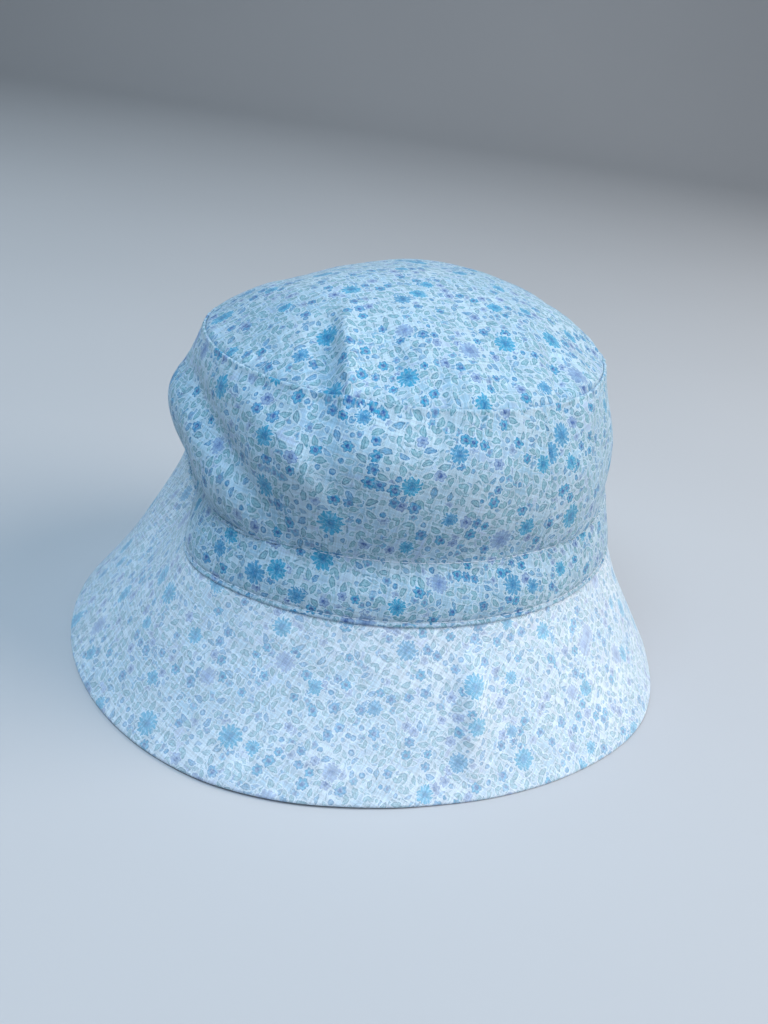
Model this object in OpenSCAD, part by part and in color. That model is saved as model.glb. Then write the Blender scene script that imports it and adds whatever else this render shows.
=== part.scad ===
// A child's bucket hat, cut and sewn from printed cotton: an oval tip and two
// side panels outside, a plain lining inside, a sweatband, and a stiffened
// double brim. It stands on the edge of its brim. +Z is up, the wearer faces
// -Y, and the origin is on the ground under the middle of the hat. The front
// and back halves of the sides and the brim meet at the side seams, on y = 0.

/* [Head opening] */
// Length of the brim seam, all the way round the outside
seam_length = 520; // [460:5:600]
// How much longer the hat is from front to back than from side to side
oval = 14; // [0:1:24]

/* [Brim] */
// Width of the brim, along its slope
brim_width = 54.4; // [40:0.2:75]
// Slope of the brim below level, in degrees
brim_slope = 60.6; // [40:0.2:72]
// How strongly the brim flares towards its edge (1 is straight)
brim_flare = 1.15; // [1:0.05:1.4]

/* [Crown] */
// Height of the side panels above the brim seam
side_rise = 64.2; // [50:0.2:85]
// How far the side panels lean in between the brim seam and the tip seam
side_lean = 15.4; // [6:0.2:22]
// How the lean grows towards the tip seam (1 is straight)
side_curve = 1.5; // [1:0.1:2.2]
// Rise of the tip above the tip seam
tip_rise = 23.7; // [12:0.1:32]
// Roundness of the tip (2 is a plain dome, more is flatter on top)
tip_curve = 2.3; // [2:0.1:3.2]

/* [Sweatband and label] */
// Height of the sweatband's stitch line above the brim seam
band_line = 19; // [14:0.5:26]
// How far the sweatband reaches above its stitch line
band_margin = 2; // [1:0.5:4]
// Width of the care label
label_width = 14; // [10:1:22]
// Length of the care label
label_length = 20; // [14:1:30]

/* [Cloth and thread] */
// Thickness of the printed cotton
cotton = 0.4; // [0.3:0.05:0.5]
// Thickness of the lining cotton
lining = 0.35; // [0.25:0.05:0.5]
// Thickness of the brim's stiffener
stiffener = 0.6; // [0.4:0.1:1]
// Thickness of the sweatband, a folded strip
sweatband_cloth = 0.9; // [0.6:0.1:1.2]
// Width of the cloth turned in at the tip seam
allowance = 7; // [5:0.5:10]
// Free space between layers of cloth
gap = 0.15; // [0.1:0.05:0.2]
// Diameter of the sewing thread
thread = 0.24; // [0.2:0.02:0.3]
// Length of one stitch
stitch_length = 2.2; // [1.8:0.1:2.6]
// Distance from the start of one stitch to the start of the next
stitch_pitch = 3; // [2.8:0.1:4]

/* [Hidden] */

// Angle between two corners of the ovals
step = 5;
// Angles that the back and the front halves run between
BACK = [0, 180];
FRONT = [180, 360];

// The oval of the brim seam, and the heights of the seams above the ground
half_x = seam_length / (2 * PI) - oval / 4;
half_y = seam_length / (2 * PI) + oval / 4;
brim_reach = brim_width * cos(brim_slope);
seam_z = brim_width * sin(brim_slope);
tip_z = seam_z + side_rise;
band_z = seam_z + band_line;

// Steps up the height of each panel
side_steps = [0, 0.12, 0.3, 0.48, 0.66, 0.83, 1];
brim_steps = [0, 0.3, 0.6, 0.82, 0.94, 1];
tip_steps = [0.14, 0.3, 0.46, 0.62, 0.77, 0.9, 1];

// Depths of the crown's layers, measured level and inwards from the outside
turned_in = 2 * cotton + gap;
tip_inset = turned_in + gap;
seam_thread_depth = tip_inset + cotton + 3 * gap + thread / 2;
lining_depth = seam_thread_depth + thread / 2 + 2 * gap;
lining_thread_depth = lining_depth - thread / 2 - gap;
band_depth = lining_depth + lining + gap;
crown_depth = band_depth + sweatband_cloth;

// Depths of the brim's layers, measured the same way. A sloping layer is
// wider on the level than it is thick.
level = 1 / sin(brim_slope);
brim_cotton = cotton * level;
stiffener_depth = brim_cotton + thread + 2 * gap;
under_depth = stiffener_depth + stiffener * level + gap;
brim_depth = under_depth + brim_cotton;
brim_middle = brim_depth / 2;

PRINT = "#C7DBEE";
PLAIN = "#EAF1F8";
STIFF = "#F4F4F0";
BAND = "#D7E4F2";
LABEL = "#FBFBF8";
THREAD = "#DCE8F4";

// How far out from the brim seam's oval the outside of the hat is, at a height
function side_out(z) = -side_lean * pow((z - seam_z) / side_rise, side_curve);
function brim_out(z) = brim_reach * pow((seam_z - z) / seam_z, brim_flare);

// A corner of an oval that is so far out from the brim seam's oval
function on_oval(out, angle, z) = [(half_x + out) * cos(angle), (half_y + out) * sin(angle), z];

// Lists of [out, z] points up or down a face of the sides or the brim, at a
// depth below the outside
function side_face(depth, low, high) =
    [for (t = side_steps) let (z = low + (high - low) * t) [side_out(z) - depth, z]];
function brim_face(depth, low, high) =
    [for (t = brim_steps) let (z = low + (high - low) * t) [brim_out(z) - depth, z]];
function back_to_front(list) = [for (i = [len(list) - 1 : -1 : 0]) list[i]];

// Two triangles between corners j and k of ring a and ring b
function quad(a, b, j, k) = [[a + j, a + k, b + k], [a + j, b + k, b + j]];
function flat(lists) = [for (list = lists) for (item = list) item];

// A closed section of [out, z] points, carried round the oval
module around(section, angles) {
    n = len(section);
    steps = (angles[1] - angles[0]) / step;
    whole = angles[1] - angles[0] == 360;
    rings = whole ? steps : steps + 1;
    points = [for (i = [0 : rings - 1]) for (p = section)
        on_oval(p[0], angles[0] + i * step, p[1])];
    sides = flat([for (i = [0 : steps - 1]) for (j = [0 : n - 1])
        quad(i * n, ((i + 1) % rings) * n, j, (j + 1) % n)]);
    start = [for (j = [n - 1 : -1 : 0]) j];
    end = [for (j = [0 : n - 1]) (rings - 1) * n + j];
    polyhedron(points, whole ? sides : concat(sides, [start, end]), convexity = 8);
}

// A closed cap of oval rings, each [half_x, half_y, z], listed from the top
// middle outwards, round the rim and back in to the underside's middle
module cap(rings, top, underside) {
    n = 360 / step;
    last = len(rings) - 1;
    points = concat(
        [for (r = rings) for (i = [0 : n - 1]) [r[0] * cos(i * step), r[1] * sin(i * step), r[2]]],
        [[0, 0, top], [0, 0, underside]]);
    over = [for (i = [0 : n - 1]) [n * (last + 1), (i + 1) % n, i]];
    bands = flat([for (r = [0 : last - 1]) for (i = [0 : n - 1])
        quad(r * n, (r + 1) * n, i, (i + 1) % n)]);
    below = [for (i = [0 : n - 1]) [n * (last + 1) + 1, last * n + i, last * n + (i + 1) % n]];
    polyhedron(points, concat(over, bands, below), convexity = 6);
}

// One stitch, a short straight piece of thread between two points
module stitch(from, to) {
    run = to - from;
    translate(from)
        rotate([0, acos(run[2] / norm(run)), atan2(run[1], run[0])])
            cylinder(h = norm(run), d = thread, $fn = 16);
}

// Stitches in a row all the way round the hat
module stitch_ring(out, z) {
    count = round(seam_length / stitch_pitch);
    turn = 360 / count;
    for (i = [0 : count - 1])
        stitch(on_oval(out, i * turn, z),
               on_oval(out, (i + stitch_length / stitch_pitch) * turn, z));
}

// Stitches in a row up a side seam, between two heights on the sides
module side_stitches(angle, depth, low, high) {
    for (z = [low : stitch_pitch : high - stitch_length])
        stitch(on_oval(side_out(z) - depth, angle, z),
               on_oval(side_out(z + stitch_length) - depth, angle, z + stitch_length));
}

// Stitches in a row down a side seam of the brim
module brim_stitches(angle, depth) {
    for (z = [4 * gap + stitch_length : stitch_pitch : seam_z - stitch_length - 1])
        stitch(on_oval(brim_out(z) - depth, angle, z),
               on_oval(brim_out(z + stitch_length) - depth, angle, z + stitch_length));
}

// The printed side panel. Its top edge is folded in and hangs down inside.
function outer_side_section() = concat(
    side_face(0, seam_z, tip_z),
    [[side_out(tip_z) - turned_in, tip_z],
     [side_out(tip_z - allowance) - turned_in, tip_z - allowance],
     [side_out(tip_z - allowance) - cotton - gap, tip_z - allowance],
     [side_out(tip_z) - cotton - gap, tip_z - cotton],
     [side_out(tip_z) - cotton, tip_z - cotton]],
    back_to_front(side_face(cotton, seam_z, tip_z - 2 * cotton)));

module outer_side_front() {
    color(PRINT) around(outer_side_section(), FRONT);
}

module outer_side_back() {
    color(PRINT) around(outer_side_section(), BACK);
}

// Rings of one face of a tip that starts so far out, at a height, and domes up
function tip_face(out, z, steps) =
    [for (s = steps) [s * (half_x + out), s * (half_y + out), z + tip_rise * (1 - pow(s, tip_curve))]];

// The printed tip. Its rim turns down inside the folded edge of the sides.
module outer_tip() {
    out = side_out(tip_z) - tip_inset;
    low_out = side_out(tip_z - allowance) - tip_inset;
    top = tip_z - gap;
    color(PRINT)
        cap(concat(
                tip_face(out, top, tip_steps),
                [[half_x + low_out, half_y + low_out, top - allowance],
                 [half_x + low_out - cotton, half_y + low_out - cotton, top - allowance]],
                back_to_front(tip_face(out - cotton, top - cotton, tip_steps))),
            top + tip_rise, top - cotton + tip_rise);
}

// The lining tip lies on the top edge of the lining sides.
module lining_tip() {
    out = side_out(tip_z) - lining_depth;
    top = tip_z - 2 * cotton;
    color(PLAIN)
        cap(concat(
                tip_face(out, top, tip_steps),
                back_to_front(tip_face(out, top - lining, tip_steps))),
            top + tip_rise, top - lining + tip_rise);
}

function lining_side_section() = let (top = tip_z - 2 * cotton - lining - gap) concat(
    side_face(lining_depth, seam_z, top),
    back_to_front(side_face(lining_depth + lining, seam_z, top)));

module lining_side_front() {
    color(PLAIN) around(lining_side_section(), FRONT);
}

module lining_side_back() {
    color(PLAIN) around(lining_side_section(), BACK);
}

// The sweatband is one strip inside the lining, from the brim seam to just
// above its line of stitches.
module sweatband() {
    high = band_z + band_margin;
    color(BAND)
        around(concat(
                   [for (z = [seam_z, high]) [side_out(z) - band_depth, z]],
                   [for (z = [high, seam_z]) [side_out(z) - crown_depth, z]]),
               [0, 360]);
}

// The brim's printed top. Its edge turns in under the stiffener.
function brim_top_section() = concat(
    brim_face(0, 0, seam_z - gap),
    back_to_front(brim_face(brim_cotton, cotton, seam_z - gap)),
    [[brim_out(cotton) - brim_middle + gap / 2, cotton],
     [brim_out(0) - brim_middle + gap / 2, 0]]);

module brim_top_front() {
    color(PRINT) around(brim_top_section(), FRONT);
}

module brim_top_back() {
    color(PRINT) around(brim_top_section(), BACK);
}

// The stiffener ends just above the turned-in edges.
function brim_stiffener_section() = let (low = cotton + thread + 3 * gap, high = seam_z - gap) concat(
    brim_face(stiffener_depth, low, high),
    back_to_front(brim_face(stiffener_depth + stiffener * level, low, high)));

module brim_stiffener_front() {
    color(STIFF) around(brim_stiffener_section(), FRONT);
}

module brim_stiffener_back() {
    color(STIFF) around(brim_stiffener_section(), BACK);
}

// The brim's underside. Its edge turns in too and meets the top's.
function brim_under_section() = concat(
    brim_face(under_depth, cotton, seam_z - gap),
    back_to_front(brim_face(brim_depth, 0, seam_z - gap)),
    [[brim_out(0) - brim_middle - gap / 2, 0],
     [brim_out(cotton) - brim_middle - gap / 2, cotton]]);

module brim_under_front() {
    color(PRINT) around(brim_under_section(), FRONT);
}

module brim_under_back() {
    color(PRINT) around(brim_under_section(), BACK);
}

// The care label is a short blank ribbon, tacked by its top corners to the
// back of the lining, just above the sweatband.
label_z = band_z + band_margin + 3;
label_top_z = label_z + label_length;
label_tilt = atan2(side_out(label_z) - side_out(label_top_z), label_length);
// Room for the curve of the lining across the label's width
label_clearance = label_width * label_width / (8 * half_x) + gap;
label_out = half_y + side_out(label_z) - lining_depth - lining - label_clearance;

module care_label() {
    color(LABEL)
        translate([0, label_out, label_z])
            rotate([label_tilt, 0, 0])
                translate([-label_width / 2, -2 * lining, 0])
                    cube([label_width, 2 * lining, label_length / cos(label_tilt)]);
}

// A tack of thread at each top corner of the label
module label_stitches() {
    tack = 2 * stitch_length;
    color(THREAD)
        for (side = [-1, 1])
            translate([0, label_out, label_z])
                rotate([label_tilt, 0, 0])
                    translate([side * (label_width / 2 - tack / 2 - 1), -2 * lining - thread / 2 - gap / 3,
                               label_length - 2])
                        rotate([0, 90, 0])
                            cylinder(h = tack, d = thread, center = true, $fn = 16);
}

// Thread inside the tip seam, through both turned-in edges
module tip_seam_thread() {
    z = tip_z - 2 * cotton - 4 * gap;
    color(THREAD) stitch_ring(side_out(z) - seam_thread_depth, z);
}

// Thread inside the two side seams of the printed crown
module side_seam_thread() {
    color(THREAD)
        for (angle = [0, 180])
            side_stitches(angle, cotton + gap + thread / 2, seam_z + 2, tip_z - allowance - 2);
}

// Thread on the hidden side of the lining, along its tip seam and side seams
module lining_seam_thread() {
    z = tip_z - 2 * cotton - lining - 1.6;
    color(THREAD) {
        stitch_ring(side_out(z) - lining_thread_depth, z);
        for (angle = [0, 180])
            side_stitches(angle, lining_thread_depth, seam_z + 2, z - 2);
    }
}

// Stitches on the outside that hold the top of the sweatband
module sweatband_topstitch() {
    color(THREAD) stitch_ring(side_out(band_z) + thread / 2 + gap / 3, band_z);
}

// Stitches on the outside, just above the brim seam
module brim_seam_topstitch() {
    z = seam_z + 1.5;
    color(THREAD) stitch_ring(side_out(z) + thread / 2 + gap / 3, z);
}

// Thread inside the two side seams of the brim's top
module brim_side_seam_thread() {
    color(THREAD)
        for (angle = [0, 180])
            brim_stitches(angle, brim_cotton + gap + thread / 2);
}

// Thread inside the edge of the brim, above the turned-in edges
module brim_edge_thread() {
    z = cotton + gap + thread / 2;
    color(THREAD) stitch_ring(brim_out(z) - brim_middle, z);
}

outer_tip();
outer_side_front();
outer_side_back();
brim_top_front();
brim_top_back();
brim_stiffener_front();
brim_stiffener_back();
brim_under_front();
brim_under_back();
lining_tip();
lining_side_front();
lining_side_back();
sweatband();
care_label();
tip_seam_thread();
side_seam_thread();
lining_seam_thread();
sweatband_topstitch();
brim_seam_topstitch();
brim_side_seam_thread();
brim_edge_thread();
label_stitches();
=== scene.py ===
"""A child's bucket hat of printed cotton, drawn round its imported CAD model.

Every piece of cloth is a closed sheet that follows one of three forms, the side and tip of the
crown and the brim, at its own depth below the outside. Shapes are worked out in millimetres.
A level runs from -1 at the brim's edge, 0 at the brim seam and 1 at the tip seam to 2 in the
middle of the tip. An angle runs round the hat from +X. The wearer faces -Y.
"""
import math

import bpy
import numpy as np
from mathutils import Matrix, Vector


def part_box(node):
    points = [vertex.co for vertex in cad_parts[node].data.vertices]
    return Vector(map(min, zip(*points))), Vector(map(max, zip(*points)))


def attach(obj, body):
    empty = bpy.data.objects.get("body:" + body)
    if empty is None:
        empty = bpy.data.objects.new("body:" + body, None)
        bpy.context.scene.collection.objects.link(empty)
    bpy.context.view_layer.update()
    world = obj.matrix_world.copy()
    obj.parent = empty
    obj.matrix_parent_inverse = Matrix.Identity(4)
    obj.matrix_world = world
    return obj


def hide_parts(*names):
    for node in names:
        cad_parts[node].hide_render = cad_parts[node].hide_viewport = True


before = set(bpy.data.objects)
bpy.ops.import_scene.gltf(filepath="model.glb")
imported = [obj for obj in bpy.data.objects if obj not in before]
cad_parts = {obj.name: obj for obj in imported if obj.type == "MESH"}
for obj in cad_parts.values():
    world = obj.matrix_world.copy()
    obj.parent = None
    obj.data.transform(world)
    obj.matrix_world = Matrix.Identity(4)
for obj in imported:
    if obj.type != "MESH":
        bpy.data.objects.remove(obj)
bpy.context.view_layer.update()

MM = 0.001
TURN = 2 * math.pi


def box(node):
    """The lowest and highest corner of a CAD node, in millimetres."""
    low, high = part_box(node)
    return np.array(low) / MM, np.array(high) / MM


# ------------------------------------------------------------------ sizes, from the CAD model
side_low, side_high = box("outer_side_front")
_, brim_high = box("brim_top_front")
_, tip_high = box("outer_tip")
HALF_X = side_high[0]
HALF_Y = -side_low[1]
SEAM_Z = side_low[2]
TIP_Z = side_high[2]
SIDE_RISE = TIP_Z - SEAM_Z
TIP_RISE = tip_high[2] - TIP_Z
BRIM_REACH = brim_high[0] - HALF_X
BRIM_WIDTH = math.hypot(BRIM_REACH, SEAM_Z)

# These repeat the CAD model's own driving values.
SIDE_LEAN = 15.4
SIDE_CURVE = 1.5
TIP_CURVE = 2.3
BRIM_FLARE = 1.15
BAND_LINE = 19.0
BAND_MARGIN = 2.0
COTTON = 0.4
LINING = 0.35
STIFFENER = 0.6
SWEATBAND = 0.9
ALLOWANCE = 7.0
THREAD = 0.24
STITCH_LENGTH = 2.2
STITCH_PITCH = 3.0
LABEL_SIZE = (14.0, 20.0)

BAND_LEVEL = BAND_LINE / SIDE_RISE
TOPSTITCH_LEVEL = 1.5 / SIDE_RISE
SIDE_SLANT = math.hypot(SIDE_RISE, SIDE_LEAN)
# About how far it is from the tip seam to the middle of the tip, and the same in the flat cut
TIP_REACH = 66
TIP_SLANT = 70
# How much wider the tip's flat cut is than the tip seam's oval
TIP_EASE = 1.045

# Depths below the outside of the crown and of the brim
FLAP_DEPTH = 0.5
TIP_DEPTH = 1.1
LINING_DEPTH = 2.5
BAND_DEPTH = 3.05
STIFFENER_DEPTH = 0.8
UNDER_DEPTH = 1.6
TURNED_UP_DEPTH = 1.65
BRIM_DEPTH = 2.0


# ------------------------------------------------------------------ forms
def oval(out, angle, z):
    """Points on ovals that are so far out from the brim seam's oval."""
    out, angle, z = np.broadcast_arrays(out, angle, z)
    return np.stack([(HALF_X + out) * np.cos(angle), (HALF_Y + out) * np.sin(angle), z], -1)


def side(angle, level):
    """The side of the crown, without slack."""
    rise = np.maximum(level, 0)
    return oval(-SIDE_LEAN * rise ** SIDE_CURVE, angle, SEAM_Z + SIDE_RISE * level)


def tip(angle, level):
    """The tip of the crown, without slack."""
    reach = 2 - level
    dome = TIP_Z + TIP_RISE * (1 - np.abs(reach) ** TIP_CURVE)
    rim = oval(-SIDE_LEAN, angle, 0 * reach) * reach[..., None]
    return rim + np.stack([0 * dome, 0 * dome, dome], -1)


def brim(angle, level):
    """The brim, without slack."""
    drop = np.maximum(-level, 0)
    return oval(BRIM_REACH * drop ** BRIM_FLARE, angle, SEAM_Z * (1 + level))


def crown(angle, level):
    """The whole crown, without slack."""
    angle, level = np.broadcast_arrays(angle, level)
    return np.where(level[..., None] > 1, tip(angle, level), side(angle, level))


# ------------------------------------------------------------------ sampling
def cubic_weights(places, count, wraps):
    """The matrix that samples a row of evenly spaced values at places between them."""
    start = np.floor(places).astype(int)
    t = places - start
    shares = (((2 - t) * t - 1) * t / 2, ((3 * t - 5) * t * t + 2) / 2,
              ((4 - 3 * t) * t + 1) * t / 2, (t - 1) * t * t / 2)
    matrix = np.zeros((len(places), count))
    for shift, share in zip((-1, 0, 1, 2), shares):
        index = start + shift
        index = index % count if wraps else np.clip(index, 0, count - 1)
        np.add.at(matrix, (np.arange(len(places)), index), share)
    return matrix


class Slack:
    """How far a form has moved from its plain shape, on a grid of levels by angles."""

    def __init__(self, low, high, moves):
        self.low = low
        self.high = high
        self.moves = moves

    def at(self, levels, angles):
        rows, columns = self.moves.shape[:2]
        up = (levels - self.low) / (self.high - self.low) * (rows - 1)
        along = angles / TURN * columns
        return np.einsum("ri,ijk,cj->rck",
                         cubic_weights(np.clip(up, 0, rows - 1), rows, False), self.moves,
                         cubic_weights(along, columns, True), optimize=True)


def round_angles(count):
    """Evenly spaced angles all the way round."""
    return np.arange(count) * TURN / count


def waves(points, wavelength, seed, count=40):
    """Smooth random values, about -1 to 1, with bumps of about half a wavelength."""
    random = np.random.default_rng(seed)
    directions = unit(random.normal(size=(count, 3)))
    lengths = wavelength * random.uniform(0.7, 1.4, count)
    phases = random.uniform(0, TURN, count)
    steps = points @ (directions * (TURN / lengths[:, None])).T + phases
    return np.cos(steps).sum(-1) * math.sqrt(2 / count) / 1.6


def unit(vectors):
    """The vectors, each made one long."""
    return vectors / np.linalg.norm(vectors, axis=-1, keepdims=True)


def bell(distance, width):
    """1 at no distance, and next to nothing at twice the width."""
    return np.exp(-(distance / width) ** 2)


def ramp(value, start, end):
    """0 before start, 1 after end and smooth between."""
    t = np.clip((value - start) / (end - start), 0, 1)
    return t * t * (3 - 2 * t)


def near_path(points, path):
    """How far points lie from a line over the crown, and how far along it, from 0 to 1."""
    path = np.array(path, float)
    fine = np.linspace(0, len(path) - 1, 4 * (len(path) - 1) + 1)
    angles = np.radians(np.interp(fine, np.arange(len(path)), path[:, 0]))
    levels = np.interp(fine, np.arange(len(path)), path[:, 1])
    line = crown(angles, levels)
    distance = np.full(points.shape[:-1], 1e9)
    along = np.zeros(points.shape[:-1])
    for i in range(len(line) - 1):
        run = line[i + 1] - line[i]
        t = np.clip((points - line[i]) @ run / (run @ run), 0, 1)
        gap = np.linalg.norm(points - line[i] - t[..., None] * run, axis=-1)
        nearer = gap < distance
        distance = np.where(nearer, gap, distance)
        along = np.where(nearer, (i + t) / (len(line) - 1), along)
    return distance, along


# ------------------------------------------------------------------ meshes
def add_mesh(name, points, faces, uv=None):
    """A smooth mesh object from points in millimetres."""
    mesh = bpy.data.meshes.new(name)
    mesh.from_pydata((points * MM).tolist(), [], faces)
    mesh.update()
    if uv is not None:
        corners = np.empty(len(mesh.loops), np.int32)
        mesh.loops.foreach_get("vertex_index", corners)
        layer = mesh.uv_layers.new(name="Cloth")
        layer.data.foreach_set("uv", (uv[corners] * MM).astype(np.float32).ravel())
    mesh.polygons.foreach_set("use_smooth", np.ones(len(mesh.polygons), bool))
    mesh.set_sharp_from_angle(angle=math.radians(58))
    piece = bpy.data.objects.new(name, mesh)
    bpy.context.scene.collection.objects.link(piece)
    return piece


def grid_faces(rows, columns, wraps):
    """Quads between neighbouring rows and columns of a grid."""
    i = np.arange(rows - 1)[:, None] * columns
    j = np.arange(columns if wraps else columns - 1)[None, :]
    k = (j + 1) % columns
    return np.stack([i + j, i + k, i + columns + k, i + columns + j], -1).reshape(-1, 4)


# ------------------------------------------------------------------ how the hat is bent
# Each list goes round the hat, in degrees and millimetres, and values change smoothly between.
SEAM_OUT = [(-180, 0), (-152, 0), (-134, -11), (-116, -17), (-103, -10), (-93, -3), (-84, 0)]
SEAM_UP = [(-190, 0), (-165, 3), (-148, 6), (-130, 6), (-115, 3), (-98, 0)]
EDGE_OUT = [(-200, 0), (-165, -1), (-152, -2.5), (-138, -1), (-117, 0), (-99, 1.2), (-78, 3.5),
            (-64, 4.5), (-51, 2.8), (-41, 0.8), (-27, -0.6), (-11, 0.4), (0, 1.6), (12, 3.4),
            (20, 4), (29, 2.5), (41, 0), (75, -1.5), (110, 1.8), (140, 0)]


def evened(values):
    """Each value averaged with its neighbours round the hat."""
    return (np.roll(values, 1, -1) + 2 * values + np.roll(values, -1, -1)) / 4


def round_the_hat(angles, stops):
    """The value at each angle from a list of degrees and values, smoothed."""
    degrees, values = np.array(stops, float).T
    fine = np.interp(np.arange(720) / 2, degrees, values, period=360)
    for _ in range(60):
        fine = evened(fine)
    return np.interp(np.degrees(angles), np.arange(720) / 2, fine, period=360)


def outwards(angles):
    return np.stack([np.cos(angles), np.sin(angles), 0 * angles], -1)


def seam_shift(angles):
    """How far the brim seam is from its plain oval."""
    shift = round_the_hat(angles, SEAM_OUT)[..., None] * outwards(angles)
    shift[..., 2] = round_the_hat(angles, SEAM_UP)
    return shift


# Creases: how far out at their middle, their half width, and the line they follow as pairs of
# degrees and level
CREASES = [
    (2.6, 4.5, [(-90, 0.95), (-73, 0.86), (-61, 0.75), (-54, 0.60), (-50, 0.44)]),
    (-6.0, 6.0, [(-114, 0.80), (-94, 0.74), (-77, 0.63), (-66, 0.50), (-57, 0.36)]),
    (-1.3, 2.4, [(-92, 0.38), (-83, 0.38), (-75, 0.37), (-67, 0.34)]),
    (0.7, 1.4, [(-60, 0.62), (-58, 0.56), (-55, 0.50)]),
    (2.8, 2.8, [(-70, 1.44), (-57, 1.20), (-52, 1.06), (-49, 0.92)]),
    (-3.4, 4.2, [(-72, 1.32), (-61, 1.14), (-57, 1.02), (-55, 0.84)]),
    (-2.2, 6.0, [(-50, 1.40), (-42, 1.18), (-40, 1.02)]),
    (-1.3, 2.6, [(-27, 1.30), (-29, 1.04), (-29, 0.92)]),
    (1.0, 5.0, [(-11, 1.36), (-17, 1.12), (-20, 0.98)]),
    (-1.5, 3.0, [(24, 1.30), (9, 1.02), (9, 0.84)]),
    (1.2, 5.0, [(36, 1.20), (19, 1.00), (17, 0.80)]),
    (-0.9, 2.0, [(-14, 0.24), (-3, 0.30), (22, 0.33)]),
    (-1.6, 5.0, [(70, 1.30), (84, 1.02), (96, 0.78), (104, 0.50)]),
    (1.4, 3.5, [(112, 0.92), (121, 0.70), (126, 0.46)]),
    (-1.8, 6.0, [(150, 1.24), (158, 0.96), (176, 0.66)]),
    (1.5, 3.0, [(192, 0.80), (204, 0.62), (222, 0.50)]),
]
# Swellings: how far out, degrees and level of the middle, half widths in degrees and level
SWELLINGS = [
    (-5.6, -36, 0.32, 50, 0.13),
    (7.2, -42, 0.75, 42, 0.22),
    (1.6, -44, 0.84, 12, 0.16),
    (0.6, -124, 0.98, 26, 0.30),
    (2.0, -116, 0.68, 16, 0.10),
    (-7.0, -99, 0.33, 17, 0.17),
    (-2.2, 40, 0.38, 32, 0.20),
    (-1.6, -10, 1.45, 20, 0.25),
    (1.4, 120, 0.80, 20, 0.30),
    (-1.8, 200, 1.40, 30, 0.35),
]
# Where the side hangs over the sweatband's stitches: how much, how wide in degrees, and where
OVERHANGS = [(2.6, 22, -76), (1.6, 16, 14), (1.6, 34, 100), (1.2, 20, 168), (1.5, 20, 215)]
# Gathers below the tip seam: how deep, degrees of the middle, half width, count round the hat
GATHERS = (0.4, -92, 15, 95)
# The crease down the brim: how far out, degrees of the middle and half width
BRIM_CREASE = (3.8, -20, 2.7)
# How far the top is twisted round, in millimetres
TWIST = -5.0


def beside(angle, degrees, width):
    """A bell round so many degrees, with its width in degrees too."""
    return bell((np.degrees(angle) - degrees + 180) % 360 - 180, width)


def grid(low, high, rows, columns):
    """Levels and angles on a grid that goes all the way round."""
    return np.meshgrid(np.linspace(low, high, rows), round_angles(columns), indexing="ij")


def crown_outward(level, angle):
    """Which way the plain crown faces."""
    # The very middle of the tip has no way round, so its row borrows from just outside it.
    below = np.minimum(level, 1.97)
    around = crown(angle + 0.01, level) - crown(angle - 0.01, level)
    up = crown(angle, below + 0.01) - crown(angle, below - 0.01)
    outward = np.cross(around, up)
    outward[-1] = (0, 0, 1)
    return unit(outward)


def crown_target():
    """Where the crown's cloth is drawn to, as moves from the plain crown on a grid."""
    level, angle = grid(0, 2, 141, 480)
    plain = crown(angle, level)
    outward = crown_outward(level, angle)
    out = 1.0 * waves(plain, 70, 1) + 0.5 * waves(plain, 30, 2)
    amount, degrees, width, count = GATHERS
    gathers = beside(angle, degrees, width) * ramp(level, 0.68, 0.97) * (level <= 1)
    out += amount * gathers * np.sin(angle * count)
    # The stitched lines hold the cloth where it was sewn.
    held = ramp(level, 0, 0.12) * (1 - bell(level - BAND_LEVEL, 0.05))
    held *= 1 - 0.5 * bell(level - 1, 0.04)
    out *= held * (0.35 + 0.65 * ramp(level, BAND_LEVEL, 0.5))
    for amount, degrees, middle, wide, tall in SWELLINGS:
        swell = amount * beside(angle, degrees, wide) * bell(level - middle, tall)
        out += swell * ramp(level, 0, 0.15)
    # Above the sweatband's stitches the side slumps, out and down.
    amount = 0.5 + 0 * angle
    for size, width, degrees in OVERHANGS:
        amount += size * beside(angle, degrees, width)
    t = np.clip((level - BAND_LEVEL) / 0.5, 0, 1)
    out += amount * np.sin(math.pi * t ** 0.7) * 0.95
    drop = 1.7 * amount * (t / 0.16) * np.exp(1 - t / 0.16)
    moves = out[..., None] * outward - drop[..., None] * np.array([0, 0, 1.0])
    moves += ramp(level, 0.62, 0.0)[..., None] * seam_shift(angle)
    sideways = np.stack([-np.sin(angle), np.cos(angle), 0 * angle], -1)
    moves += TWIST * (ramp(level, 0, 0.8) * np.clip(2 - level, 0, 1))[..., None] * sideways
    return Slack(0, 2, moves)


# The cloth simulation runs at ten times the real size, which Blender's settings suit better.
SIMULATED_SIZE = 10
SIMULATED_FRAMES = 30
CLOTH_SETTINGS = dict(quality=6, mass=0.02, tension_stiffness=40, compression_stiffness=40,
                      shear_stiffness=12, bending_stiffness=1.2, vertex_group_shrink="loose",
                      shrink_min=0, shrink_max=-0.025, vertex_group_mass="held",
                      pin_stiffness=1.0)


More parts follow.
